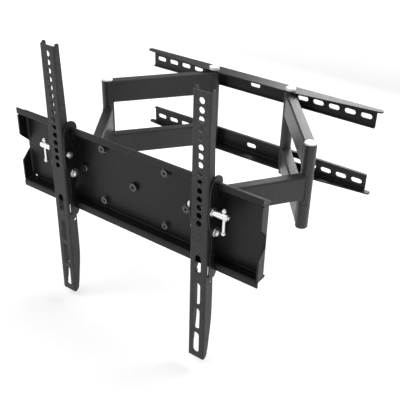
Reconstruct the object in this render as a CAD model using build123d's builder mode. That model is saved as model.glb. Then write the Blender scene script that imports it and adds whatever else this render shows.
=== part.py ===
from build123d import *
import math
import os

# Full motion wall mount for a flat television: two wall rails, two folding arms, a head bracket,
# a pressed TV plate and two tilting uprights hooked over it.
# Millimetres. X runs along the wall, Y points into the wall (the wall face is Y = 0), Z is up.
# The origin is the middle of the wall bolt pattern.

os.makedirs("parts", exist_ok=True)

# ---------------------------------------------------------------- driving dimensions
# Wall rails
rail_half = 230.0        # half length of the flat web
rail_t = 2.5             # sheet thickness
rail_top = 76.0          # top of the upper rail, and bottom of the lower one mirrored
rail_web = 33.0          # height of the web
rail_lip = 5.5           # depth of the stiffening lip
flange_mid = 27.0        # flange depth over the pivots
flange_end = 9.5         # flange depth at its rounded ends
flange_half = 241.0      # half length of the flange, ends included
slot_z = 60.0            # height of the slot row
slot_first = 213.0       # outermost slot centre
slot_pitch = 29.2
slot_count = 5           # slots at each end
slot_len = 20.0
slot_wide = 8.5

# Arm linkage, seen from above
wall_x = 79.0            # wall pivots, left and right of the middle
wall_y = -17.5
rear_len = 195.0         # wall pivot to elbow
front_len = 170.0        # elbow to head pivot
head_x = 104.0           # head pivots, left and right of the middle
rear_angle = 51.7        # rear arm against the wall as modelled
front_angle = math.degrees(
    math.acos((wall_x + rear_len * math.cos(math.radians(rear_angle)) - head_x) / front_len)
)
elbow_x = wall_x + rear_len * math.cos(math.radians(rear_angle))
elbow_y = wall_y - rear_len * math.sin(math.radians(rear_angle))
head_y = elbow_y - front_len * math.sin(math.radians(front_angle))

# Arm sections
tube_w = 18.0
tube_h = 40.0
tube_t = 1.6
rear_z = 51.0            # centre height of the rear tubes, above and below the middle
barrel_r = 10.0
post_half = 72.0         # half height of the wall post
rear_barrel_low = 29.0   # span of the rear elbow barrels
rear_barrel_top = 71.0
front_barrel_half = 28.0
head_barrel_half = 24.0
pin_r = 5.0              # wall and elbow pins
head_pin_r = 4.0
bush_r = 7.0             # outside of the pivot bushes
bush_gap = 0.08          # running clearance of a bush on its pin
open_bore_r = 6.5        # right head pivot, where the closed linkage is opened

# TV plate: depths are measured from the front of its lips towards the wall
pivot_depth = 38.0       # head pivot axis behind the lips
lip_y = head_y - pivot_depth
plate_half = 230.0
plate_top = 70.0
plate_t = 2.5
ledge_z = 58.7           # tray side of the ledges
web_depth = 17.3         # front of the web behind the lips
flange_high = 57.8       # half height of the end flanges
corner_x = 60.0
corner_z = 44.5
side_x = 98.6
level_half = 3.0         # level adjustment, degrees each way
bolt_seat = web_depth - 1.2   # underside of the level bolt heads, on their washers
head_high = 3.9          # thickness of those heads
behind_web = web_depth + plate_t + 0.1   # front of the level plate

# Head bracket
channel_half = 120.0
channel_z = 27.5
bracket_t = 2.5
channel_back = 32.0      # depth its flanges reach between the pivots

# Uprights and hook brackets: depths are measured from the front of the upright
upright_front = lip_y - 16.5
left_x = -126.2
right_x = 142.6
upright_w = 28.0
upright_t = 2.0
upright_top = 198.0
upright_bottom = -232.0
hole_d = 9.0
slot_d = 10.5            # width of the long slots below the plate
hole_first = 185.5
hole_pitch = 12.65
hole_count = 15
tilt_v = 17.0            # tilt pivot behind the upright front
tilt_w = -6.5
clamp_v = 8.5            # clamp bolt behind the upright front
clamp_w = 29.0
clamp_r = 3.0
tilt_r = 4.0
tilt_back = 1.0          # tilt range, degrees
tilt_forward = 10.0
hook_gap = 0.4           # hook side plate to upright flange
hook_t = 2.2


def save(part, name):
    """Label a finished piece and write it as its own STEP file."""
    part.label = name
    export_step(part, f"parts/{name}.step")


# ---------------------------------------------------------------- wall rails
def wall_rail():
    """Upper rail: slotted web on the wall, tapered flange on top, narrow lip below."""
    with BuildPart() as rail:
        with BuildSketch(Plane.XZ):
            with Locations((0, rail_top - rail_web / 2)):
                Rectangle(2 * rail_half, rail_web)
        extrude(amount=rail_t)
        with BuildSketch(Plane.XY.offset(rail_top - rail_web)):
            with Locations((0, -rail_lip / 2)):
                Rectangle(2 * rail_half, rail_lip)
        extrude(amount=rail_t)
        with BuildSketch(Plane.XY.offset(rail_top)) as plan:
            with BuildLine():
                Polyline(
                    (-flange_half, 0),
                    (-flange_half, -flange_end),
                    (-wall_x - 12, -flange_mid),
                    (wall_x + 12, -flange_mid),
                    (flange_half, -flange_end),
                    (flange_half, 0),
                    close=True,
                )
            make_face()
            fillet(plan.vertices().group_by(Axis.Y)[0], radius=30)
            fillet(plan.vertices().group_by(Axis.X)[0], radius=4.5)
            fillet(plan.vertices().group_by(Axis.X)[-1], radius=4.5)
            with Locations((-wall_x, wall_y), (wall_x, wall_y)):
                Circle(pin_r + 0.05, mode=Mode.SUBTRACT)
        extrude(amount=-rail_t)
        bends = rail.edges().filter_by(Axis.X)
        inner_top = bends.filter_by(
            lambda e: abs(e.center().Y + rail_t) < 0.01 and abs(e.center().Z - rail_top + rail_t) < 0.01
        )
        inner_low = bends.filter_by(
            lambda e: abs(e.center().Y + rail_t) < 0.01
            and abs(e.center().Z - rail_top + rail_web - rail_t) < 0.01
        )
        fillet(inner_top + inner_low, radius=1.5)
        with BuildSketch(Plane.XZ):
            for side in (-1, 1):
                for step in range(slot_count):
                    with Locations((side * (slot_first - step * slot_pitch), slot_z)):
                        SlotOverall(slot_len, slot_wide)
            with Locations((0, slot_z)):
                SlotOverall(slot_len, slot_wide)
        extrude(amount=rail_t, mode=Mode.SUBTRACT)
    return rail.part


upper_rail = wall_rail()
save(upper_rail, "wall_rail_upper")
save(mirror(upper_rail, about=Plane.XY), "wall_rail_lower")


def turned(points, rings):
    """Upright turned piece at each point: rings of (radius, low, high), one on top of another."""
    with BuildPart() as piece:
        for radius, low, high in rings:
            with BuildSketch(Plane.XY.offset(low)):
                with Locations(*points):
                    Circle(radius)
            extrude(amount=high - low)
    return piece.part


def sleeve(points, rings, bore):
    """Turned piece with a through bore."""
    with BuildPart() as piece:
        add(turned(points, rings))
        low = min(ring[1] for ring in rings)
        high = max(ring[2] for ring in rings)
        with BuildSketch(Plane.XY.offset(low)):
            with Locations(*points):
                Circle(bore)
        extrude(amount=high - low, mode=Mode.SUBTRACT)
    return piece.part


def hex_nut(points, flats, low, high, bore):
    """Hexagon nut about the vertical."""
    with BuildPart() as nut:
        with BuildSketch(Plane.XY.offset(low)):
            with Locations(*points):
                RegularPolygon(flats / 2, 6, major_radius=False)
                Circle(bore, mode=Mode.SUBTRACT)
        extrude(amount=high - low)
    return nut.part


def round_cap(points, radius, seat, height, plug_r, plug_h):
    """White domed cap on a plug, pressed in from above."""
    with BuildPart() as cap:
        with BuildSketch(Plane.XY.offset(seat)):
            with Locations(*points):
                Circle(radius)
        extrude(amount=height)
        fillet(cap.faces().sort_by(Axis.Z)[-1].edges(), radius=0.7 * height)
        with BuildSketch(Plane.XY.offset(seat - plug_h)):
            with Locations(*points):
                Circle(plug_r)
        extrude(amount=plug_h)
    return cap.part


# ---------------------------------------------------------------- wall pivots
# One long pin per side through both rails: low head under a white cap on top, nut below.
wall_points = ((-wall_x, wall_y), (wall_x, wall_y))
save(turned(wall_points, ((pin_r, -rail_top - 9.5, rail_top), (7.5, rail_top, rail_top + 2.5))),
     "wall_pivot_pins")
save(hex_nut(wall_points, 16, -rail_top - 8, -rail_top, pin_r + 0.05), "wall_pivot_nuts")
with BuildPart() as wall_caps:
    with BuildSketch(Plane.XY.offset(rail_top)):
        with Locations(*wall_points):
            Circle(9.2)
    extrude(amount=4.6)
    fillet(wall_caps.faces().sort_by(Axis.Z)[-1].edges(), radius=2.6)
    with BuildSketch(Plane.XY.offset(rail_top)):
        with Locations(*wall_points):
            Circle(7.6)
    extrude(amount=2.8, mode=Mode.SUBTRACT)
save(wall_caps.part, "wall_pivot_caps")


# ---------------------------------------------------------------- arms
def arm_tube(start, end, z_mid):
    """Rectangular tube between two pivots, its ends cut to the barrels they are welded to."""
    run = Vector(end[0] - start[0], end[1] - start[1], 0)
    across = Vector(-run.Y, run.X, 0)
    with BuildPart() as tube:
        with BuildSketch(Plane(origin=(start[0], start[1], z_mid), x_dir=across, z_dir=run)):
            RectangleRounded(tube_w, tube_h, 3)
            RectangleRounded(tube_w - 2 * tube_t, tube_h - 2 * tube_t, 3 - tube_t, mode=Mode.SUBTRACT)
        extrude(amount=run.length)
        with Locations((start[0], start[1], z_mid), (end[0], end[1], z_mid)):
            Cylinder(barrel_r, tube_h + 2, mode=Mode.SUBTRACT)
    return tube.part


def elbow_barrels(point):
    """Upper and lower barrels of a rear arm, each counterbored for the pin head or its nut."""
    with BuildPart() as barrels:
        for low, high in ((rear_barrel_low, rear_barrel_top), (-rear_barrel_top, -rear_barrel_low)):
            with BuildSketch(Plane.XY.offset(low)):
                with Locations(point):
                    Circle(barrel_r)
                    Circle(pin_r + 0.05, mode=Mode.SUBTRACT)
            extrude(amount=high - low)
        for low in (rear_barrel_top - 10, -rear_barrel_top):
            with BuildSketch(Plane.XY.offset(low)):
                with Locations(point):
                    Circle(8)
            extrude(amount=10, mode=Mode.SUBTRACT)
    return barrels.part


def bushes(point, half, length):
    """Flanged plastic bush in each end of a barrel."""
    bore = pin_r + bush_gap
    upper = sleeve((point,), ((bush_r, half - length, half), (barrel_r - 0.6, half, half + 0.8)), bore)
    with BuildPart() as pair:
        add(upper)
        mirror(upper, about=Plane.XY)
    return pair.part


for side, hand in ((-1, "left"), (1, "right")):
    wall_point = (side * wall_x, wall_y)
    elbow_point = (side * elbow_x, elbow_y)
    head_point = (side * head_x, head_y)
    # Rear arm: a post between the rails, two tubes and two elbow barrels, welded together.
    save(sleeve((wall_point,), ((barrel_r, -post_half, post_half),), bush_r), f"{hand}_rear_post")
    save(arm_tube(wall_point, elbow_point, rear_z), f"{hand}_rear_tube_upper")
    save(arm_tube(wall_point, elbow_point, -rear_z), f"{hand}_rear_tube_lower")
    save(elbow_barrels(elbow_point), f"{hand}_rear_barrels")
    save(bushes(wall_point, post_half, 20), f"{hand}_wall_bushes")
    save(turned((elbow_point,), ((pin_r, -68.5, 61), (7.5, 61, 69))), f"{hand}_elbow_pin")
    save(hex_nut((elbow_point,), 13, -67, -61, pin_r + 0.05), f"{hand}_elbow_nut")
    upper_cap = round_cap((elbow_point,), 9.4, rear_barrel_top, 2.4, 7.9, 1.6)
    with BuildPart() as elbow_caps:
        add(upper_cap)
        mirror(upper_cap, about=Plane.XY)
    save(elbow_caps.part, f"{hand}_elbow_caps")
    # Front arm: one tube between the elbow barrel and the shorter head barrel.
    save(arm_tube(elbow_point, head_point, 0), f"{hand}_front_tube")
    save(sleeve((elbow_point,), ((barrel_r, -front_barrel_half, front_barrel_half),), bush_r),
         f"{hand}_front_barrel")
    save(bushes(elbow_point, front_barrel_half, 15), f"{hand}_elbow_bushes")

left_head = (-head_x, head_y)
right_head = (head_x, head_y)
head_ring = ((barrel_r, -head_barrel_half, head_barrel_half),)
save(sleeve((left_head,), head_ring, 6), "left_head_barrel")
upper_bush = sleeve(
    (left_head,),
    ((6, head_barrel_half - 12, head_barrel_half), (9.4, head_barrel_half, head_barrel_half + 0.8)),
    head_pin_r + bush_gap,
)
with BuildPart() as head_bushes:
    add(upper_bush)
    mirror(upper_bush, about=Plane.XY)
save(head_bushes.part, "left_head_bushes")
save(sleeve((right_head,), head_ring, open_bore_r), "right_head_barrel")


# ---------------------------------------------------------------- head bracket
def facing(depth):
    """Upright plane facing the room, at a depth behind the front of the plate lips."""
    return Plane.XZ.offset(-(lip_y + depth))


channel_front = behind_web + bracket_t
with BuildPart() as level_plate:
    with BuildSketch(facing(behind_web)) as cross:
        Rectangle(144, 108)
        Rectangle(226, 34)
        fillet(cross.vertices(), radius=6)
        with Locations((0, 0)):
            Circle(4.2, mode=Mode.SUBTRACT)
        with GridLocations(2 * corner_x, 2 * corner_z, 2, 2):
            Circle(3.2, mode=Mode.SUBTRACT)
        with Locations((-side_x, 0), (side_x, 0)):
            Circle(3.1, mode=Mode.SUBTRACT)
    extrude(amount=-bracket_t)
save(level_plate.part, "head_level_plate")

with BuildPart() as channel:
    with BuildSketch(facing(channel_front)):
        Rectangle(2 * channel_half, 2 * channel_z)
        Circle(4.2, mode=Mode.SUBTRACT)
        with Locations((-side_x, 0), (side_x, 0)):
            Circle(3.1, mode=Mode.SUBTRACT)
    extrude(amount=-bracket_t)
    for low in (channel_z - bracket_t, -channel_z):
        with BuildSketch(Plane.XY.offset(low)):
            with Locations((0, lip_y + (channel_front + channel_back) / 2)):
                Rectangle(2 * channel_half, channel_back - channel_front)
            for side in (-1, 1):
                with Locations((side * head_x, lip_y + (channel_front + pivot_depth) / 2)):
                    Rectangle(24, pivot_depth - channel_front)
                with Locations((side * head_x, head_y)):
                    Circle(12)
                    Circle(head_pin_r + 0.05, mode=Mode.SUBTRACT)
        extrude(amount=bracket_t)
    bends = channel.edges().filter_by(Axis.X).group_by(Axis.Y)[0]
    fillet(bends, radius=2)
save(channel.part, "head_channel")

head_points = (left_head, right_head)
save(turned(head_points, ((head_pin_r, -channel_z - 3.4, channel_z), (7, channel_z, channel_z + 2.8))),
     "head_pivot_pins")
save(hex_nut(head_points, 13, -channel_z - 3, -channel_z, head_pin_r + 0.05), "head_pivot_nuts")


# ---------------------------------------------------------------- TV plate
# Level slots: arcs about the centre bolt, one per corner and side bolt.
corner_r = math.hypot(corner_x, corner_z)
corner_angle = math.degrees(math.atan2(corner_z, corner_x))
level_paths = [
    CenterArc((0, 0), radius, middle - level_half, 2 * level_half)
    for radius, middle in (
        (corner_r, corner_angle),
        (corner_r, 180 - corner_angle),
        (corner_r, 180 + corner_angle),
        (corner_r, -corner_angle),
        (side_x, 0),
        (side_x, 180),
    )
]

with BuildPart() as tv_plate:
    mid = plate_t / 2
    web_mid = lip_y + web_depth + mid
    with BuildSketch(Plane.YZ.offset(-plate_half)):
        with BuildLine():
            FilletPolyline(
                (lip_y + mid, plate_top),
                (lip_y + mid, ledge_z + mid),
                (web_mid, ledge_z + mid),
                (web_mid, -ledge_z - mid),
                (lip_y + mid, -ledge_z - mid),
                (lip_y + mid, -plate_top),
                radius=mid + 1,
            )
        trace(line_width=plate_t)
    extrude(amount=2 * plate_half)
    # The web stops short of the ends, where the end flanges take over.
    with BuildSketch(Plane.YZ.offset(-plate_half)):
        with Locations((web_mid, 0)):
            Rectangle(6, 2 * flange_high + 1.2)
    extrude(amount=12, mode=Mode.SUBTRACT)
    with BuildSketch(Plane.YZ.offset(plate_half)):
        with Locations((web_mid, 0)):
            Rectangle(6, 2 * flange_high + 1.2)
    extrude(amount=-12, mode=Mode.SUBTRACT)
    for side in (-1, 1):
        with BuildSketch(Plane.XY.offset(-flange_high)):
            with BuildLine():
                FilletPolyline(
                    (side * (plate_half - 14), web_mid),
                    (side * (plate_half - mid), web_mid),
                    (side * (plate_half - mid), lip_y + 0.3),
                    radius=5,
                )
            trace(line_width=plate_t)
        extrude(amount=2 * flange_high)
    # Wide notch in the middle of each end flange.
    with BuildSketch(Plane.YZ) as notch:
        Polygon(
            (lip_y - 2, 26),
            (lip_y + 17, 7),
            (lip_y + 17, -7),
            (lip_y - 2, -26),
            align=None,
        )
        fillet(notch.vertices().group_by(Axis.X)[-1], radius=3)
    extrude(amount=plate_half + 1, both=True, mode=Mode.SUBTRACT)
    with BuildSketch(facing(web_depth)):
        # Relief at each corner, between the end flange and the ledge.
        with GridLocations(2 * plate_half - 18, 2 * flange_high - 2.8, 2, 2):
            Rectangle(6, 4)
        Circle(tilt_r + 0.08)
        for path in level_paths:
            SlotArc(path, 7)
    extrude(amount=-plate_t, mode=Mode.SUBTRACT)
save(tv_plate.part, "tv_plate")


def level_bolts(points, shank, head, tail):
    """Pan head bolts through the plate, with a hexagon socket; tail is the depth they reach."""
    with BuildPart() as bolts:
        with BuildSketch(facing(bolt_seat)):
            with Locations(*points):
                Circle(head)
        extrude(amount=head_high)
        fillet(bolts.faces().sort_by(Axis.Y)[0].edges(), radius=1.6)
        with BuildSketch(facing(bolt_seat - head_high)):
            with Locations(*points):
                RegularPolygon(shank * 0.75, 6)
        extrude(amount=-2, mode=Mode.SUBTRACT)
        with BuildSketch(facing(bolt_seat)):
            with Locations(*points):
                Circle(shank)
        extrude(amount=-(tail - bolt_seat))
    return bolts.part


def level_washers(points, bore, outside):
    """Flat washers between the bolt heads and the plate."""
    with BuildPart() as washers:
        with BuildSketch(facing(bolt_seat)):
            with Locations(*points):
                Circle(outside)
                Circle(bore, mode=Mode.SUBTRACT)
        extrude(amount=-1.1)
    return washers.part


def level_nuts(points, flats, depth, bore):
    """Hexagon nuts behind the head bracket."""
    with BuildPart() as nuts:
        with BuildSketch(facing(depth)):
            with Locations(*points):
                RegularPolygon(flats / 2, 6, major_radius=False)
                Circle(bore, mode=Mode.SUBTRACT)
        extrude(amount=-5)
    return nuts.part


corner_points = [(sx * corner_x, sz * corner_z) for sx in (-1, 1) for sz in (-1, 1)]
side_points = [(-side_x, 0), (side_x, 0)]
save(level_bolts([(0, 0)], 4, 7, channel_front + 9.4), "centre_bolt")
save(level_nuts([(0, 0)], 13, channel_front + bracket_t, 4.05), "centre_nut")
save(level_bolts(corner_points, 3, 6, channel_front + 6.9), "level_corner_bolts")
save(level_nuts(corner_points, 10, channel_front, 3.05), "level_corner_nuts")
save(level_bolts(side_points, 3, 6, channel_front + bracket_t), "level_side_bolts")
save(level_washers(corner_points + side_points, 3.2, 7.2), "level_washers")


# ---------------------------------------------------------------- uprights
def side_plane(x):
    """Plane across the upright: first axis towards the wall from its front, second axis up."""
    return Plane(origin=(x, upright_front, 0), x_dir=(0, 1, 0), z_dir=(1, 0, 0))


def upright(x_mid):
    """Channel upright: front face with holes and slots, deep flanges round the tilt pivot."""
    half = upright_w / 2
    reach = math.hypot(tilt_v - clamp_v, clamp_w - tilt_w)
    rest = math.degrees(math.atan2(clamp_w - tilt_w, clamp_v - tilt_v))
    clamp_path = CenterArc((tilt_v, tilt_w), reach, rest - tilt_forward, tilt_forward + tilt_back)
    with BuildPart() as part:
        with BuildSketch(side_plane(x_mid - half)):
            with BuildLine():
                Polyline(
                    (0, upright_bottom),
                    (0, upright_top),
                    (3.4, upright_top),
                    (4.8, upright_top + 2.6),
                    (8.6, upright_top + 2.6),
                    (10.2, upright_top + 0.6),
                    (10.5, 185),
                    (15.5, 47),
                    (22, 41),
                    (24.8, 36),
                    (24.8, -13),
                    (19, -24),
                    (4.6, -49),
                    (4.6, -75),
                    (17.6, -81),
                    (18.2, -140),
                )
                Spline(
                    (18.2, -140),
                    (16.8, -172),
                    (13.5, -199),
                    (9.7, upright_bottom + 10),
                    tangents=((0, -1), (-0.3, -1)),
                )
                ThreePointArc(
                    (9.7, upright_bottom + 10),
                    (7.6, upright_bottom + 2.8),
                    (2.8, upright_bottom),
                )
                Line((2.8, upright_bottom), (0, upright_bottom))
            make_face()
        extrude(amount=upright_w)
        # Hollow of the channel, open at the back and both ends.
        with BuildSketch(Plane.XY.offset(upright_bottom - 1)):
            with Locations((x_mid, upright_front + upright_t + 20)):
                Rectangle(upright_w - 2 * upright_t, 40)
        extrude(amount=upright_top - upright_bottom + 6, mode=Mode.SUBTRACT)
        outer = part.edges().filter_by(Axis.Z).group_by(Axis.Y)[0]
        fillet(outer, radius=2.4)
        face = Plane.XZ.offset(-upright_front)
        with BuildSketch(face):
            for step in range(hole_count):
                with Locations((x_mid, hole_first - step * hole_pitch)):
                    Circle(hole_d / 2)
            with Locations((x_mid, -58.5)):
                SlotOverall(30, slot_d, rotation=90)
            with Locations((x_mid, -111), (x_mid, -157), (x_mid, -203)):
                SlotOverall(39, slot_d, rotation=90)
        extrude(amount=-upright_t, mode=Mode.SUBTRACT)
        # Tilt pivot hole, clamp slot about it, and the safety screw hole below the plate.
        with BuildSketch(side_plane(x_mid - half)):
            with Locations((tilt_v, tilt_w)):
                Circle(tilt_r + 0.08)
            SlotArc(clamp_path, 2 * clamp_r + 0.8)
            with Locations((14.5, -92)):
                Circle(2.6)
        extrude(amount=upright_w, mode=Mode.SUBTRACT)
    return part.part


def hook_bracket(x_mid):
    """Two side plates hooked over the plate lips, joined by straps above and below."""
    inner = upright_w / 2 + hook_gap
    with BuildPart() as hook:
        for start, thick in ((x_mid - inner, -hook_t), (x_mid + inner, hook_t)):
            with BuildSketch(side_plane(start)):
                with BuildLine():
                    ThreePointArc((5, 72), (16.2, 80.1), (29.4, 64.3))
                    Polyline(
                        (29.4, 64.3),
                        (28, 62),
                        (19.7, 62),
                        (19.7, 70.9),
                        (16, 70.9),
                        (16, 57.6),
                        (20.2, 57.6),
                        (20.2, 48),
                        (26.3, 42),
                        (26.3, -8),
                        (22, -22),
                        (16, -34),
                        (16, -70.9),
                        (21.8, -70.9),
                        (21.8, -77),
                        (18, -82),
                        (8.5, -82),
                        (5, -78.5),
                        (5, -48),
                        (8, -38),
                        (8, -12),
                    )
                    Spline(
                        (8, -12),
                        (5.2, -4.5),
                        (1.6, 9),
                        (0.6, 24),
                        (1.7, 44),
                        (5, 72),
                        tangents=((-0.4, 1), (0.25, 1)),
                    )
                make_face()
                with Locations((tilt_v, tilt_w)):
                    Circle(10)
                    Circle(tilt_r + 0.08, mode=Mode.SUBTRACT)
                with Locations((clamp_v, clamp_w)):
                    Circle(clamp_r + 0.4, mode=Mode.SUBTRACT)
            extrude(amount=thick)
        for v_mid, w_mid in ((18.5, 52.5), (15.1, -53.5)):
            with BuildSketch(Plane.XY.offset(w_mid - 3.5)):
                with Locations((x_mid, upright_front + v_mid)):
                    Rectangle(2 * inner, 1.8)
            extrude(amount=7)
    return hook.part


def across(points, rings):
    """Turned piece lying along X: rings of (radius, from x, to x)."""
    with BuildPart() as piece:
        for radius, low, high in rings:
            with BuildSketch(side_plane(low)):
                with Locations(*points):
                    Circle(radius)
            extrude(amount=high - low)
    return piece.part


def lying_ring(point, radius, bore, low, high):
    """Washer or plain collar about a cross bolt."""
    with BuildPart() as ring:
        with BuildSketch(side_plane(low)):
            with Locations(point):
                Circle(radius)
                Circle(bore, mode=Mode.SUBTRACT)
        extrude(amount=high - low)
    return ring.part


def lying_nut(point, flats, bore, low, high):
    """Hexagon nut about a cross bolt."""
    with BuildPart() as nut:
        with BuildSketch(side_plane(low)):
            with Locations(point):
                RegularPolygon(flats / 2, 6, major_radius=False)
                Circle(bore, mode=Mode.SUBTRACT)
        extrude(amount=high - low)
    return nut.part


tilt_point = (tilt_v, tilt_w)
clamp_point = (clamp_v, clamp_w)
hook_face = upright_w / 2 + hook_gap + hook_t
hub_r = 5.0
bar_out = 34.6           # tommy bar from the middle of the upright
bar_r = 2.2
ball_r = 3.5
for x_mid, out, hand in ((left_x, -1, "left"), (right_x, 1, "right")):
    save(upright(x_mid), f"{hand}_upright")
    save(hook_bracket(x_mid), f"{hand}_hook_bracket")
    # Tilt pivot: hexagon head on the left of the bracket, domed nut on its right.
    low = x_mid - hook_face
    high = x_mid + hook_face
    with BuildPart() as tilt_bolt:
        with BuildSketch(side_plane(low - 5)):
            with Locations(tilt_point):
                RegularPolygon(6.5, 6, major_radius=False)
        extrude(amount=5)
        with BuildSketch(side_plane(low)):
            with Locations(tilt_point):
                Circle(tilt_r)
        extrude(amount=high - low + 4.9)
    save(tilt_bolt.part, f"{hand}_tilt_bolt")
    with BuildPart() as tilt_nut:
        add(lying_ring(tilt_point, 7.6, tilt_r + 0.05, high, high + 1.2))
        add(lying_nut(tilt_point, 11, tilt_r + 0.05, high + 1.2, high + 4.4))
        add(lying_ring(tilt_point, 5, tilt_r + 0.05, high + 4.4, high + 5.02))
        add(across((tilt_point,), ((5, high + 5.02, high + 6.2), (4.2, high + 6.2, high + 7))))
    save(tilt_nut.part, f"{hand}_tilt_nut")
    # Clamp: a long hub with a shank through the bracket, a nut on the far side, and a tommy bar.
    face = x_mid + out * hook_face
    far = x_mid - out * hook_face
    washer_low, washer_high = sorted((face, face + out * 1.0))
    nut_low, nut_high = sorted((far, far - out * 5.5))
    save(lying_ring(clamp_point, 7, clamp_r + 0.4, washer_low, washer_high), f"{hand}_clamp_washer")
    save(lying_nut(clamp_point, 10, clamp_r + 0.08, nut_low, nut_high), f"{hand}_clamp_nut")
    hub_start = face + out * 1.1
    hub_end = x_mid + out * 41.2
    with BuildPart() as clamp_bolt:
        low, high = sorted((hub_start, hub_end))
        add(across((clamp_point,), ((hub_r, low, high),)))
        chamfer(clamp_bolt.faces().sort_by(Axis.X)[-1 if out > 0 else 0].edges(), length=0.8)
        low, high = sorted((hub_end, hub_end + out * 2.2))
        add(across((clamp_point,), ((2.4, low, high),)))
        low, high = sorted((hub_start, far - out * 7))
        add(across((clamp_point,), ((clamp_r, low, high),)))
        with BuildSketch(Plane.XY.offset(clamp_w - 8)):
            with Locations((x_mid + out * bar_out, upright_front + clamp_v)):
                Circle(bar_r + 0.1)
        extrude(amount=16, mode=Mode.SUBTRACT)
    save(clamp_bolt.part, f"{hand}_clamp_bolt")
    with BuildPart() as tommy_bar:
        bar_x = x_mid + out * bar_out
        bar_y = upright_front + clamp_v
        bar_top = clamp_w + 8.6
        bar_foot = clamp_w - 26.6
        with BuildSketch(Plane.XY.offset(bar_foot)):
            with Locations((bar_x, bar_y)):
                Circle(bar_r)
        extrude(amount=bar_top - bar_foot)
        with Locations((bar_x, bar_y, bar_top), (bar_x, bar_y, bar_foot)):
            Sphere(ball_r)
    save(tommy_bar.part, f"{hand}_tommy_bar")
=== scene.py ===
import math

import bpy
import numpy as np
from mathutils import Matrix, Vector


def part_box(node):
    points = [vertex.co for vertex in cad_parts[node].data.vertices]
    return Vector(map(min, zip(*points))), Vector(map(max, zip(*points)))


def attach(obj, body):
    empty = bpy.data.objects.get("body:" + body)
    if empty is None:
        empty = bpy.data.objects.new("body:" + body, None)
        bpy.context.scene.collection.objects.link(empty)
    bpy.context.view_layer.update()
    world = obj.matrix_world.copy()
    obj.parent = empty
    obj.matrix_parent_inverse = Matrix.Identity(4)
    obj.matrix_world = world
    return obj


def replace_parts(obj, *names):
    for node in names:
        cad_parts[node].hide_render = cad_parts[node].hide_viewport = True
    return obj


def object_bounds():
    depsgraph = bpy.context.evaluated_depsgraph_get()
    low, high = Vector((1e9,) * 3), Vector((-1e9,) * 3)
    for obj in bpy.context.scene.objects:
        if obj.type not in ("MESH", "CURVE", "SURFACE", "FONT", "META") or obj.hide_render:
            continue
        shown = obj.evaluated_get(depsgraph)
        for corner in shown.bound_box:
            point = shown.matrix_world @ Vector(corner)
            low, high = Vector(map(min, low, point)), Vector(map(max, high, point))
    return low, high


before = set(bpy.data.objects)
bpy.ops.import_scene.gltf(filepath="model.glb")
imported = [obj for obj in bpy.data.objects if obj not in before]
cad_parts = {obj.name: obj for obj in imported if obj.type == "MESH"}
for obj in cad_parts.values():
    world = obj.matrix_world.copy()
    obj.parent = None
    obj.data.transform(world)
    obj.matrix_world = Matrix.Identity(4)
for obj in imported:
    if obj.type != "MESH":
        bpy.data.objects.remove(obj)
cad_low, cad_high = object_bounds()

# ------------------------------------------------------------------ wall rails
# Two rails pressed from 2.5 mm steel, each a slotted web on the wall and a tapered flange,
# powder coated satin black. Wall screws through the slots hold them.


def new_group(name, inputs, outputs):
    """An empty shader node group with named sockets, given as (name, kind, value) and (name, kind)."""
    group = bpy.data.node_groups.new(name, "ShaderNodeTree")
    for label, kind, value in inputs:
        socket = group.interface.new_socket(label, in_out="INPUT", socket_type=kind)
        socket.default_value = value
    for label, kind in outputs:
        group.interface.new_socket(label, in_out="OUTPUT", socket_type=kind)
    return group, group.nodes.new("NodeGroupInput"), group.nodes.new("NodeGroupOutput")


def noise(tree, where, scale, detail):
    """A noise texture read at the piece's own coordinates; scale is in features per metre."""
    node = tree.nodes.new("ShaderNodeTexNoise")
    node.inputs["Scale"].default_value = scale
    node.inputs["Detail"].default_value = detail
    tree.links.new(where.outputs["Object"], node.inputs["Vector"])
    return node.outputs["Fac"]


def maths(tree, kind, first, second, third=None):
    """A maths node; each term is a socket or a number."""
    node = tree.nodes.new("ShaderNodeMath")
    node.operation = kind
    for slot, term in enumerate((first, second, third)):
        if isinstance(term, (int, float)):
            node.inputs[slot].default_value = term
        elif term is not None:
            tree.links.new(term, node.inputs[slot])
    return node.outputs[0]


def between(tree, value, low, high, to_low, to_high):
    """The value carried from one range to another and held at its ends."""
    node = tree.nodes.new("ShaderNodeMapRange")
    for label, term in (("Value", value), ("From Min", low), ("From Max", high),
                        ("To Min", to_low), ("To Max", to_high)):
        if isinstance(term, (int, float)):
            node.inputs[label].default_value = term
        else:
            tree.links.new(term, node.inputs[label])
    return node.outputs["Result"]


def blend_colours(tree, share, first, second):
    """Mixes two colours by a mask; each is a socket or a colour."""
    node = tree.nodes.new("ShaderNodeMix")
    node.data_type = "RGBA"
    tree.links.new(share, node.inputs["Factor"])
    for label, term in (("A", first), ("B", second)):
        socket = [s for s in node.inputs if s.name == label and s.type == "RGBA"][0]
        if isinstance(term, tuple):
            socket.default_value = (*term, 1)
        else:
            tree.links.new(term, socket)
    return [s for s in node.outputs if s.type == "RGBA"][0]


# Edges of sheet and tube, rounded by the paint: a softened normal and a mask along the edges.
PAINT_ROUND = 0.0006

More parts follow.
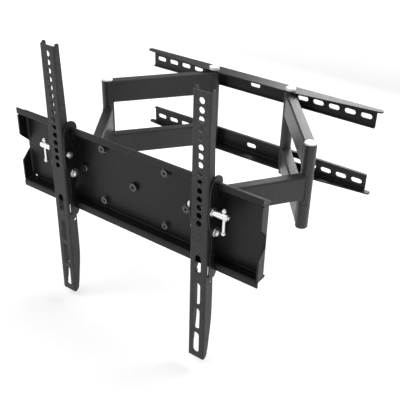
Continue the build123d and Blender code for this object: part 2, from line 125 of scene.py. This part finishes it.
edge_group, edge_in, edge_out = new_group(
    "painted edges",
    [("Round", "NodeSocketFloat", PAINT_ROUND)],
    [("Normal", "NodeSocketVector"), ("Edge", "NodeSocketFloat")],
)
round_off = edge_group.nodes.new("ShaderNodeBevel")
round_off.samples = 6
edge_group.links.new(edge_in.outputs["Round"], round_off.inputs["Radius"])
flat_normal = edge_group.nodes.new("ShaderNodeNewGeometry")
facing = edge_group.nodes.new("ShaderNodeVectorMath")
facing.operation = "DOT_PRODUCT"
edge_group.links.new(round_off.outputs["Normal"], facing.inputs[0])
edge_group.links.new(flat_normal.outputs["Normal"], facing.inputs[1])
edge_group.links.new(round_off.outputs["Normal"], edge_out.inputs["Normal"])
edge_group.links.new(between(edge_group, facing.outputs["Value"], 0.98, 0.80, 0.0, 1.0),
                     edge_out.inputs["Edge"])

# Powder coat: a fine sandy skin over a slow change of tone, smoother along edges, with a lighter grey
# painted onto the edges as a highlight.
coat_group, coat_in, coat_out = new_group(
    "powder coat",
    [("Dark", "NodeSocketColor", (0.01, 0.01, 0.01, 1)),
     ("Light", "NodeSocketColor", (0.03, 0.03, 0.03, 1)),
     ("Edge highlight", "NodeSocketColor", (0.08, 0.08, 0.08, 1)),
     ("Sand", "NodeSocketFloat", 0.5),
     ("Smooth", "NodeSocketFloat", 0.38),
     ("Matt", "NodeSocketFloat", 0.5),
     ("Edge", "NodeSocketFloat", 0.0)],
    [("Color", "NodeSocketColor"), ("Roughness", "NodeSocketFloat"), ("Height", "NodeSocketFloat")],
)
coat_at = coat_group.nodes.new("ShaderNodeTexCoord")
grit = noise(coat_group, coat_at, scale=1500, detail=3)
speckle = noise(coat_group, coat_at, scale=480, detail=4)
peel = noise(coat_group, coat_at, scale=170, detail=2)
tone = noise(coat_group, coat_at, scale=11, detail=3)
sandy = maths(coat_group, "MULTIPLY", between(coat_group, speckle, 0.35, 0.68, 0, 1),
              coat_in.outputs["Sand"])
shade = maths(coat_group, "ADD", sandy, between(coat_group, tone, 0.3, 0.7, 0.1, 0.5))
body_colour = blend_colours(coat_group, shade, coat_in.outputs["Dark"], coat_in.outputs["Light"])
# Painted highlight: the edges are lightened towards the third grey, mottled by the speckle, and the same
# mask makes them a little smoother.
edge_highlight = maths(coat_group, "MULTIPLY", coat_in.outputs["Edge"],
             between(coat_group, speckle, 0.42, 0.6, 0.15, 0.75))
coat_group.links.new(blend_colours(coat_group, edge_highlight, body_colour, coat_in.outputs["Edge highlight"]),
                     coat_out.inputs["Color"])
matt = between(coat_group, grit, 0.3, 0.7, coat_in.outputs["Smooth"], coat_in.outputs["Matt"])
coat_group.links.new(maths(coat_group, "MULTIPLY_ADD", edge_highlight, -0.12, matt),
                     coat_out.inputs["Roughness"])
grains = maths(coat_group, "MULTIPLY_ADD", grit, coat_in.outputs["Sand"], peel)
coat_group.links.new(maths(coat_group, "MULTIPLY_ADD", speckle, 0.7, grains),
                     coat_out.inputs["Height"])

FAINT_BLUE = 1.04  # how much bluer than grey the black coats are


def powder_coat(name, dark, light, highlight_grey, sand, smooth, matt, bump, gloss):
    """Painted steel: the powder coat over softened edges.

    dark and light are grey levels, and the third is that of a painted highlight along the edges;
    smooth and matt are the two ends of the roughness; gloss is how strongly the coat mirrors light.
    """
    material = bpy.data.materials.new(name)
    material.use_nodes = True
    tree = material.node_tree
    shader = tree.nodes["Principled BSDF"]
    shader.inputs["Specular IOR Level"].default_value = gloss
    edges = tree.nodes.new("ShaderNodeGroup")
    edges.node_tree = edge_group
    edges.inputs["Round"].default_value = PAINT_ROUND
    coat = tree.nodes.new("ShaderNodeGroup")
    coat.node_tree = coat_group
    # The third grey is painted onto the edges as a highlight.
    for label, grey in (("Dark", dark), ("Light", light), ("Edge highlight", highlight_grey)):
        coat.inputs[label].default_value = (grey, grey, grey * FAINT_BLUE, 1)
    for label, value in (("Sand", sand), ("Smooth", smooth), ("Matt", matt)):
        coat.inputs[label].default_value = value
    relief = tree.nodes.new("ShaderNodeBump")
    relief.inputs["Strength"].default_value = bump
    relief.inputs["Distance"].default_value = 0.0004
    tree.links.new(edges.outputs["Edge"], coat.inputs["Edge"])
    tree.links.new(coat.outputs["Color"], shader.inputs["Base Color"])
    tree.links.new(coat.outputs["Roughness"], shader.inputs["Roughness"])
    tree.links.new(coat.outputs["Height"], relief.inputs["Height"])
    tree.links.new(edges.outputs["Normal"], relief.inputs["Normal"])
    tree.links.new(relief.outputs["Normal"], shader.inputs["Normal"])
    return material


def finish_nodes(material, *names):
    """Gives CAD nodes their finish."""
    for name in names:
        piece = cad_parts[name]
        piece.data.materials.clear()
        piece.data.materials.append(material)


rail_paint = powder_coat("rail paint", dark=0.005, light=0.013, highlight_grey=0.12, sand=0.35,
                         smooth=0.34, matt=0.50, bump=0.25, gloss=0.30)
finish_nodes(rail_paint, "wall_rail_upper", "wall_rail_lower")

# ------------------------------------------------------------------ wall pivots
# A long steel pin, plated in black zinc, drops through both rails and each rear arm's post,
# with a nut below. A white moulded cap hides its head on the upper rail.
HANDS = ("left", "right")
PLATED_ROUND = 0.0004


def plain_finish(name, grey, spread, rough, metal, scale, bump, tint=(1, 1, 1)):
    """Plastic or plated metal: two close tones mottled together, and two roughnesses.

    The tones lie spread above and below grey, and the roughnesses 0.05 above and below rough.
    scale is the mottling's, in features per metre.
    """
    material = bpy.data.materials.new(name)
    material.use_nodes = True
    tree = material.node_tree
    shader = tree.nodes["Principled BSDF"]
    shader.inputs["Metallic"].default_value = metal
    at = tree.nodes.new("ShaderNodeTexCoord")
    mottle = noise(tree, at, scale, detail=3)
    fine = noise(tree, at, scale * 6, detail=2)
    first = tuple(part * (grey - spread) for part in tint)
    second = tuple(part * (grey + spread) for part in tint)
    tree.links.new(blend_colours(tree, mottle, first, second), shader.inputs["Base Color"])
    tree.links.new(between(tree, fine, 0.3, 0.7, rough - 0.05, rough + 0.05),
                   shader.inputs["Roughness"])
    edges = tree.nodes.new("ShaderNodeGroup")
    edges.node_tree = edge_group
    edges.inputs["Round"].default_value = PLATED_ROUND
    relief = tree.nodes.new("ShaderNodeBump")
    relief.inputs["Strength"].default_value = bump
    relief.inputs["Distance"].default_value = 0.0002
    tree.links.new(fine, relief.inputs["Height"])
    tree.links.new(edges.outputs["Normal"], relief.inputs["Normal"])
    tree.links.new(relief.outputs["Normal"], shader.inputs["Normal"])
    return material


cap_plastic = plain_finish("cap plastic", grey=0.84, spread=0.03, rough=0.32, metal=0.0,
                           scale=60, bump=0.10, tint=(1, 1, 0.985))
black_zinc = plain_finish("black zinc", grey=0.085, spread=0.02, rough=0.20, metal=0.85,
                          scale=500, bump=0.05, tint=(1, 1, 1.05))
finish_nodes(black_zinc, "wall_pivot_pins")
finish_nodes(cap_plastic, "wall_pivot_caps")


def middle(node):
    """Centre of a CAD node's box, in metres."""
    low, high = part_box(node)
    return (np.array(low) + np.array(high)) / 2


def mesh_piece(name, points, faces, material, body, slot, crease=32):
    """A finished mesh piece from an array of points and lists of faces, riding on a body.

    Faces that meet at more than the crease angle, in degrees, keep a sharp edge.
    """
    mesh = bpy.data.meshes.new(name)
    mesh.from_pydata(points.tolist(), [], faces)
    mesh.polygons.foreach_set("use_smooth", np.ones(len(faces), dtype=bool))
    mesh.set_sharp_from_angle(angle=math.radians(crease))
    mesh.materials.append(material)
    piece = bpy.data.objects.new(name, mesh)
    bpy.context.scene.collection.objects.link(piece)
    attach(piece, body)
    return piece


def turned_rows(axis, centre, rows, flats, segments=96):
    """Points and faces of a solid turned about the x or z axis, some of its rows cut to a hexagon.

    Each row is (distance along the axis, radius, 1 where a hexagon cuts it and 0 where it is
    round). A cut row's radius is the lesser of its own and the hexagon's, which is half the
    distance across flats over the cosine of the angle from the nearest flat. Rows that start
    and end at radius nought close in points; otherwise the last row joins back to the first,
    which leaves a bore.
    """
    along, radius, hexed = np.array(rows, dtype=float).T
    turn = np.linspace(0, 2 * np.pi, segments, endpoint=False)
    out = np.repeat(radius[:, None], segments, axis=1)
    flat_out = flats / 2 / np.cos(np.mod(turn, np.pi / 3) - np.pi / 6)
    out = np.where(hexed[:, None] == 1, np.minimum(out, flat_out[None, :]), out)
    run = np.repeat(along[:, None], segments, axis=1)
    parts = (out * np.cos(turn), out * np.sin(turn), run)
    order = (2, 0, 1) if axis == "x" else (0, 1, 2)
    points = np.stack([parts[k] for k in order], axis=-1)
    offset = np.array(centre, dtype=float)
    offset[0 if axis == "x" else 2] = 0.0
    points = points + offset
    pointed = radius[0] == 0
    body_rows = points[1:-1] if pointed else points
    count = len(body_rows)
    index = np.arange(count * segments).reshape(count, segments)
    upper = index[1:] if pointed else np.roll(index, -1, axis=0)
    lower = index[:-1] if pointed else index
    quads = np.stack([lower, np.roll(lower, -1, 1), np.roll(upper, -1, 1), upper], axis=-1)
    faces = quads.reshape(-1, 4).tolist()
    flat_points = body_rows.reshape(-1, 3)
    if pointed:
        start, end = len(flat_points), len(flat_points) + 1
        flat_points = np.vstack([flat_points, points[0, :1], points[-1, :1]])
        first, last = index[0], index[-1]
        faces += np.stack([np.roll(first, -1), first, np.full(segments, start)], axis=-1).tolist()
        faces += np.stack([last, np.roll(last, -1), np.full(segments, end)], axis=-1).tolist()
    return flat_points, faces


def joined(groups):
    """Several sets of points and faces as one set."""
    points, faces, start = [], [], 0
    for some_points, some_faces in groups:
        points.append(some_points)
        faces += [[start + corner for corner in face] for face in some_faces]
        start += len(some_points)
    return np.vstack(points), faces


PAST_CORNER = 1.001  # a full row's radius over the corner's, so that the flats alone shape it


def nut_rows(low, high, flats, bore):
    """Rows of a hexagon nut between two heights.

    The corners are turned down in a cone at both faces, from the round face, whose radius is
    0.46 of the flats, to the corners. The bore has a small countersink at each end.
    """
    sink = 0.0005
    corner = flats / 2 / math.cos(math.pi / 6)
    face = 0.46 * flats
    rise = (corner - face) * 0.55
    steps = np.linspace(0, 1, 7)
    cone = face + steps * (corner * PAST_CORNER - face)
    rows = [(low + sink, bore, 0), (low, bore + sink, 0)]
    rows += [(low + rise * step, out, 1) for step, out in zip(steps, cone)]
    rows += [(high - rise * step, out, 1) for step, out in zip(steps[::-1], cone[::-1])]
    rows += [(high, bore + sink, 0), (high - sink, bore, 0)]
    return rows


def hexagon_nuts(name, node, axis, centres, flats, bore, material, body, slot):
    """Bevelled nuts in place of a CAD node of plain ones, at the same places along the axis.

    Nuts on the y axis are turned about z and then laid down, so that y is z with its sign
    changed and z is y.
    """
    low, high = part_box(node)
    groups = []
    for centre in centres:
        if axis == "y":
            rows = nut_rows(-high[1], -low[1], flats, bore)
            points, faces = turned_rows("z", (0, 0, 0), rows, flats)
            x, y, z = points.T
            points = np.stack([x + centre[0], -z, y + centre[2]], axis=-1)
        else:
            number = 0 if axis == "x" else 2
            rows = nut_rows(low[number], high[number], flats, bore)
            points, faces = turned_rows(axis, centre, rows, flats)
        groups.append((points, faces))
    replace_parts(mesh_piece(name, *joined(groups), material, body, slot), node)


wall_centres = [middle(f"{hand}_wall_bushes") for hand in HANDS]
hexagon_nuts("wall_pivot_hexagon_nuts", "wall_pivot_nuts", "z", wall_centres, flats=0.016, bore=0.0051,
             material=black_zinc, body="rails", slot="dark_fastener")

# ------------------------------------------------------------------ folding arms
# Steel tube arms, 18 x 40 mm, welded to turned barrels and posts, then coated satin black.
# Most barrels run on black nylon bushes, and the elbow pins hide under pressed-in caps.
arm_paint = powder_coat("arm paint", dark=0.014, light=0.040, highlight_grey=0.24, sand=0.45,
                        smooth=0.32, matt=0.46, bump=0.30, gloss=0.36)
bush_nylon = plain_finish("bush nylon", grey=0.05, spread=0.01, rough=0.42, metal=0.0,
                          scale=200, bump=0.12)
for hand in HANDS:
    finish_nodes(arm_paint, f"{hand}_rear_post", f"{hand}_rear_tube_upper", f"{hand}_rear_tube_lower",
                 f"{hand}_rear_barrels", f"{hand}_front_tube", f"{hand}_front_barrel",
                 f"{hand}_head_barrel")
    finish_nodes(bush_nylon, f"{hand}_wall_bushes", f"{hand}_elbow_bushes")
    finish_nodes(black_zinc, f"{hand}_elbow_pin", f"{hand}_elbow_nut")
    finish_nodes(cap_plastic, f"{hand}_elbow_caps")
finish_nodes(bush_nylon, "left_head_bushes")

TUBE_WIDE = 0.018
TUBE_HIGH = 0.040
TUBE_CORNER = 0.003
BARREL = 0.010       # outside radius of the barrels and posts
BEAD = 0.00125       # radius of a weld bead between its ripples
BEAD_CREASE = 60     # degrees, past any angle between a bead's own faces but its ends


def tube_outline(places=420):
    """Sideways and upward distances at even steps round a rectangular tube's rounded outline.

    The outline is four quarter circles, one about the middle of each rounded corner, joined by
    the straight sides between their ends.
    """
    flat_wide = TUBE_WIDE / 2 - TUBE_CORNER
    flat_high = TUBE_HIGH / 2 - TUBE_CORNER
    middles = ((flat_wide, -flat_high), (-flat_wide, -flat_high), (-flat_wide, flat_high),
               (flat_wide, flat_high))
    quarter = np.linspace(0, np.pi / 2, 12)
    arcs = []
    for number, (aside, up) in enumerate(middles):
        bend = -np.pi / 2 * number - quarter
        arcs.append(np.stack([aside + TUBE_CORNER * np.cos(bend),
                              up + TUBE_CORNER * np.sin(bend)], -1))
    outline = np.vstack(arcs + [arcs[0][:1]])
    steps = np.linalg.norm(np.diff(outline, axis=0), axis=1)
    gone = np.concatenate([[0], np.cumsum(steps)])
    even = np.linspace(0, gone[-1], places)
    return np.interp(even, gone, outline[:, 0]), np.interp(even, gone, outline[:, 1])


def weld_bead(axis_point, far_point, height, open_side, seed):
    """Points and faces of a rippled weld bead where a rectangular tube meets a round barrel.

    The seam follows the tube's outline; at each point it stands off the barrel's axis by the
    root of the barrel radius squared less the sideways distance squared. The bead is a round
    cord along it whose radius swells and falls once for every ripple and thins out at the ends
    of an open seam. open_side is 1 where the seam leaves out the tube's top face, -1 where it
    leaves out the bottom face, and 0 where it runs all round. seed shifts the uneven part.
    """
    ripple = 0.0017   # length of one ripple
    fade = 0.0016     # length over which an open seam's ends thin out
    short = 0.0005    # how far before the tube's rounded corner an open seam stops
    along = np.array([far_point[0] - axis_point[0], far_point[1] - axis_point[1], 0.0])
    along /= np.linalg.norm(along)
    aside = np.array([-along[1], along[0], 0.0])
    up = np.array([0.0, 0.0, 1.0])
    half_wide, half_high = TUBE_WIDE / 2, TUBE_HIGH / 2
    side, rise = tube_outline()
    if open_side:
        # The outline is cut where a side meets a corner of the face left out, so that the
        # points kept follow each other without a gap.
        flat_high = half_high - TUBE_CORNER
        start = np.argmin(np.abs(side - half_wide) * 10 + np.abs(rise * open_side - flat_high))
        order = np.roll(np.arange(len(side) - 1), -start)
        order = order[rise[order] * open_side < flat_high - short]
        side, rise = side[order], rise[order]
    away = np.sqrt(np.maximum(BARREL ** 2 - side ** 2, 0))
    path = (np.array([axis_point[0], axis_point[1], height]) + away[:, None] * along
            + side[:, None] * aside + rise[:, None] * up)
    leave = np.gradient(path, axis=0)
    leave /= np.linalg.norm(leave, axis=1)[:, None]
    # Outward leans away from the barrel's axis and, close to a face of the tube, away from it.
    from_axis = (away[:, None] * along + side[:, None] * aside) / BARREL
    from_tube = np.stack([side / half_wide, rise / half_high], -1) ** 15
    outward = from_axis + from_tube[:, :1] * aside + from_tube[:, 1:] * up
    outward -= np.sum(outward * leave, axis=1)[:, None] * leave
    outward /= np.linalg.norm(outward, axis=1)[:, None]
    beside = np.cross(outward, leave)
    run = np.concatenate([[0], np.cumsum(np.linalg.norm(np.diff(path, axis=0), axis=1))])
    uneven = 0.05 * np.sin(run * 610 + seed) + 0.04 * np.sin(run * 1730 + 2 * seed)
    thick = BEAD * (1 + 0.14 * np.abs(np.sin(np.pi * run / ripple)) + uneven)
    if open_side:
        from_end = np.minimum(run, run[-1] - run) / fade
        thick = thick * np.sqrt(np.clip(from_end, 0.02, 1))
    turn = np.linspace(0, 2 * np.pi, 14, endpoint=False)
    spokes = (np.cos(turn)[None, :, None] * outward[:, None, :]
              + np.sin(turn)[None, :, None] * beside[:, None, :])
    rings = path[:, None, :] + thick[:, None, None] * spokes
    if not open_side:
        rings = rings[:-1]
    count, around = rings.shape[:2]
    index = np.arange(count * around).reshape(count, around)
    here = index[:-1] if open_side else index
    there = index[1:] if open_side else np.roll(index, -1, 0)
    quads = np.stack([here, there, np.roll(there, -1, 1), np.roll(here, -1, 1)], axis=-1)
    faces = quads.reshape(-1, 4).tolist()
    if open_side:
        faces += [index[0].tolist(), index[-1][::-1].tolist()]
    return rings.reshape(-1, 3), faces


for number, hand in enumerate(HANDS):
    wall_end = middle(f"{hand}_wall_bushes")
    elbow = middle(f"{hand}_elbow_pin")
    head_end = middle(f"{hand}_head_barrel")
    upper_mid = middle(f"{hand}_rear_tube_upper")[2]
    beads = []
    for height, open_side in ((upper_mid, 1), (-upper_mid, -1)):
        beads.append(weld_bead(wall_end, elbow, height, open_side, seed=number + open_side))
        beads.append(weld_bead(elbow, wall_end, height, open_side, seed=number + open_side + 5))
    mesh_piece(f"{hand}_rear_arm_welds", *joined(beads), arm_paint, f"{hand}_rear_arm", "arm_paint",
               crease=BEAD_CREASE)
    beads = [weld_bead(elbow, head_end, 0.0, open_side=0, seed=number),
             weld_bead(head_end, elbow, 0.0, open_side=0, seed=number + 3)]
    mesh_piece(f"{hand}_front_arm_welds", *joined(beads), arm_paint, f"{hand}_front_arm", "arm_paint",
               crease=BEAD_CREASE)

# ------------------------------------------------------------------ head bracket
# A channel bent from 2.5 mm steel carries the arms' head pivots; a cross-shaped plate on it
# is bolted behind the TV plate. Both are coated satin black.
CORNER_X = 0.060     # the four corner bolts, left and right of the centre bolt
CORNER_Z = 0.0445    # and above and below it

head_paint = powder_coat("head paint", dark=0.008, light=0.018, highlight_grey=0.07, sand=0.30,
                         smooth=0.34, matt=0.48, bump=0.22, gloss=0.30)
finish_nodes(head_paint, "head_level_plate", "head_channel")
finish_nodes(black_zinc, "head_pivot_pins", "centre_bolt", "level_corner_bolts", "level_side_bolts",
             "level_washers")
head_centres = [middle(f"{hand}_head_barrel") for hand in HANDS]
hexagon_nuts("head_pivot_hexagon_nuts", "head_pivot_nuts", "z", head_centres, flats=0.013, bore=0.0041,
             material=black_zinc, body="head", slot="dark_fastener")
hexagon_nuts("centre_hexagon_nut", "centre_nut", "y", [(0, 0, 0)], flats=0.013, bore=0.0041,
             material=black_zinc, body="head", slot="dark_fastener")
corners = [(x, 0, z) for x in (-CORNER_X, CORNER_X) for z in (-CORNER_Z, CORNER_Z)]
hexagon_nuts("level_hexagon_nuts", "level_corner_nuts", "y", corners, flats=0.010, bore=0.0031,
             material=black_zinc, body="head", slot="dark_fastener")

# ------------------------------------------------------------------ TV plate
# One tray pressed from 2.5 mm steel, with lips along its long edges and notched end flanges,
# coated in a smooth deep black. It is bolted to the head bracket.
plate_paint = powder_coat("plate paint", dark=0.004, light=0.009, highlight_grey=0.14, sand=0.25,
                          smooth=0.34, matt=0.48, bump=0.2, gloss=0.26)
finish_nodes(plate_paint, "tv_plate")

# ------------------------------------------------------------------ hook brackets
# Each is two side plates cut from 2.2 mm steel and joined by straps, coated satin black. It
# hooks over the TV plate's upper lip and under the lower one, and slides along them.
hook_paint = powder_coat("hook paint", dark=0.004, light=0.010, highlight_grey=0.24, sand=0.30,
                         smooth=0.34, matt=0.48, bump=0.22, gloss=0.28)
for hand in HANDS:
    finish_nodes(hook_paint, f"{hand}_hook_bracket")

# ------------------------------------------------------------------ uprights
# Channels folded from 2 mm steel, punched for the television's screws, in a coarser
# textured coat than the rest, a little greyer.
upright_paint = powder_coat("upright paint", dark=0.006, light=0.032, highlight_grey=0.20, sand=0.85,
                            smooth=0.40, matt=0.58, bump=0.60, gloss=0.30)
for hand in HANDS:
    finish_nodes(upright_paint, f"{hand}_upright")

# ------------------------------------------------------------------ tilt pivots and clamps
# Zinc plated fasteners: a hexagon bolt with a domed nut for the tilt, and a clamp bolt with
# a long turned hub, crossed by a sliding tommy bar with ball ends.
bright_zinc = plain_finish("bright zinc", grey=0.78, spread=0.04, rough=0.26, metal=1.0,
                           scale=420, bump=0.03, tint=(1, 1, 1.01))


def domed_nut(name, hand):
    """A washer and a domed hexagon nut turned as one surface, in place of the CAD tilt nut.

    From the bracket outwards: the washer's flat face and bevelled rim, the hexagon with its
    corners turned down in a cone, then a quarter of an ellipse for the dome, closed in a point.
    """
    washer_out = 0.0076
    washer_thick = 0.0012
    rim = 0.0003
    flats = 0.011
    nut_thick = 0.0032
    cone = 0.0005        # length of the cone, and its radius at the outer end
    cone_out = 0.00525
    dome_out = 0.0050
    step_down = 0.0001
    low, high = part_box(f"{hand}_tilt_nut")
    start = low[0]
    washer_end = start + washer_thick
    dome_start = washer_end + nut_thick
    corner = flats / 2 / math.cos(math.pi / 6)
    rows = [(start, 0, 0), (start, 0.004, 0), (start, washer_out - rim, 0),
            (start + rim, washer_out, 0), (washer_end - rim, washer_out, 0),
            (washer_end, washer_out - rim, 0), (washer_end, corner + 0.0001, 1)]
    rows += [(dome_start - cone + cone * step, corner - (corner - cone_out) * step, 1)
             for step in np.linspace(0, 1, 7)]
    rows += [(dome_start, dome_out + 0.0002, 0), (dome_start + step_down, dome_out, 0)]
    dome_high = high[0] - dome_start - step_down
    rows += [(dome_start + step_down + dome_high * math.sin(bend), dome_out * math.cos(bend), 0)
             for bend in np.linspace(0, math.pi / 2, 12)[1:-1]]
    rows += [(high[0], 0, 0)]
    points, faces = turned_rows("x", middle(f"{hand}_tilt_bolt"), rows, flats)
    piece = mesh_piece(name, points, faces, bright_zinc, f"{hand}_hook", "bright_zinc")
    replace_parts(piece, f"{hand}_tilt_nut")


def hexagon_bolt(name, hand):
    """The tilt bolt: a hexagon head on the left, and on the right a shank with a bevelled end.

    The head's corners are turned down in a cone on its outer face.
    """
    flats = 0.013
    head_high = 0.005
    cone = 0.0007        # length of the cone, and its radius at the outer face
    cone_out = 0.0059
    shank = 0.004
    bevel = 0.0006
    node = f"{hand}_tilt_bolt"
    low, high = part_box(node)
    head_start, shank_end = low[0], high[0]
    corner = flats / 2 / math.cos(math.pi / 6) * PAST_CORNER
    rows = [(head_start, 0, 0), (head_start, 0.0035, 0)]
    rows += [(head_start + cone * step, cone_out + (corner - cone_out) * step, 1)
             for step in np.linspace(0, 1, 7)]
    rows += [(head_start + head_high, corner, 1), (head_start + head_high, shank, 0),
             (shank_end - bevel, shank, 0), (shank_end, shank - bevel, 0), (shank_end, 0, 0)]
    points, faces = turned_rows("x", middle(node), rows, flats)
    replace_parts(mesh_piece(name, points, faces, bright_zinc, f"{hand}_hook", "bright_zinc"), node)


for hand in HANDS:
    finish_nodes(bright_zinc, f"{hand}_clamp_washer", f"{hand}_clamp_bolt", f"{hand}_tommy_bar")
    domed_nut(f"{hand}_domed_nut", hand)
    hexagon_bolt(f"{hand}_tilt_hexagon_bolt", hand)
    hexagon_nuts(f"{hand}_clamp_hexagon_nut", f"{hand}_clamp_nut", "x", [middle(f"{hand}_clamp_washer")],
                 flats=0.010, bore=0.0031, material=bright_zinc, body=f"{hand}_hook", slot="bright_zinc")

# ------------------------------------------------------------------ studio
# A pale floor under the mount, one broad light overhead, one soft box behind on the right
# and a weaker one in front on the left.


def stage_plane(name, half, height, tone, glow, far_glow):
    """A flat square floor centred below the mount, faintly lit from within, more so far away."""
    mesh = bpy.data.meshes.new(name)
    mesh.from_pydata([(-half, -half, height), (half, -half, height), (half, half, height),
                      (-half, half, height)], [], [(0, 1, 2, 3)])
    floor = bpy.data.objects.new(name, mesh)
    bpy.context.scene.collection.objects.link(floor)
    material = bpy.data.materials.new("pale floor")
    material.use_nodes = True
    tree = material.node_tree
    shader = tree.nodes["Principled BSDF"]
    shader.inputs["Base Color"].default_value = (tone, tone, tone, 1)
    shader.inputs["Roughness"].default_value = 0.9
    shader.inputs["Specular IOR Level"].default_value = 0.1
    shader.inputs["Emission Strength"].default_value = 1.0
    at = tree.nodes.new("ShaderNodeTexCoord")
    reach = tree.nodes.new("ShaderNodeVectorMath")
    reach.operation = "LENGTH"
    tree.links.new(at.outputs["Object"], reach.inputs[0])
    share = between(tree, reach.outputs["Value"], 0.8, 1.9, 0.0, 1.0)
    tree.links.new(blend_colours(tree, share, (glow,) * 3, (far_glow,) * 3),
                   shader.inputs["Emission Color"])
    mesh.materials.append(material)


stage_plane("floor", half=12.0, height=cad_low[2] - 0.012, tone=0.88, glow=0.26, far_glow=0.86)


def soft_box(name, place, target, size, power):
    """A rectangular light at a place, turned towards a target."""
    light = bpy.data.lights.new(name, "AREA")
    light.shape = "RECTANGLE"
    light.size, light.size_y = size
    light.energy = power
    lamp = bpy.data.objects.new(name, light)
    bpy.context.scene.collection.objects.link(lamp)
    lamp.location = place
    lamp.rotation_euler = (Vector(target) - Vector(place)).to_track_quat("-Z", "Y").to_euler()


soft_box("overhead light", place=(0.1, -0.2, 2.2), target=(0, -0.2, 0), size=(3.0, 3.0), power=40)
soft_box("back right light", place=(0.42, 1.15, 0.72), target=(0.42, 0.15, 0.98), size=(1.95, 0.80),
         power=40)
soft_box("front left light", place=(-0.9, -1.3, 0.9), target=(-0.35, -0.65, -0.25), size=(0.8, 0.8),
         power=5)

# The room is bright up to a little above the horizon and darker overhead.
world = bpy.data.worlds.new("studio")
world.use_nodes = True
sky = world.node_tree
sky.nodes["Background"].inputs["Strength"].default_value = 1.0
looking = sky.nodes.new("ShaderNodeTexCoord")
upward = sky.nodes.new("ShaderNodeSeparateXYZ")
sky.links.new(looking.outputs["Generated"], upward.inputs[0])
share = between(sky, upward.outputs["Z"], 0.16, 0.42, 0.0, 1.0)
sky.links.new(blend_colours(sky, share, (0.93,) * 3, (0.20,) * 3),
              sky.nodes["Background"].inputs["Color"])
bpy.context.scene.world = world
bpy.context.scene.view_settings.view_transform = "Standard"

# ------------------------------------------------------------------ camera
# It stands in front of the mount on the right and looks down on it, turned a little about
# its own line of sight.
AZIMUTH = math.radians(35.395)
ELEVATION = math.radians(30.966)
ROLL = math.radians(-1.478)
CAMERA_AT = (0.58764, -0.99023, 0.50602)

forward = Vector((-math.sin(AZIMUTH) * math.cos(ELEVATION), math.cos(AZIMUTH) * math.cos(ELEVATION),
                  -math.sin(ELEVATION)))
level_right = Vector((math.cos(AZIMUTH), math.sin(AZIMUTH), 0))
level_down = forward.cross(level_right)
right = math.cos(ROLL) * level_right + math.sin(ROLL) * level_down
down = -math.sin(ROLL) * level_right + math.cos(ROLL) * level_down
lens = bpy.data.cameras.new("camera")
lens.lens = 61.30
lens.sensor_width = 36.0
camera = bpy.data.objects.new("camera", lens)
bpy.context.scene.collection.objects.link(camera)
turned = Matrix((right, -down, -forward)).transposed().to_4x4()
camera.matrix_world = Matrix.Translation(CAMERA_AT) @ turned
bpy.context.scene.camera = camera
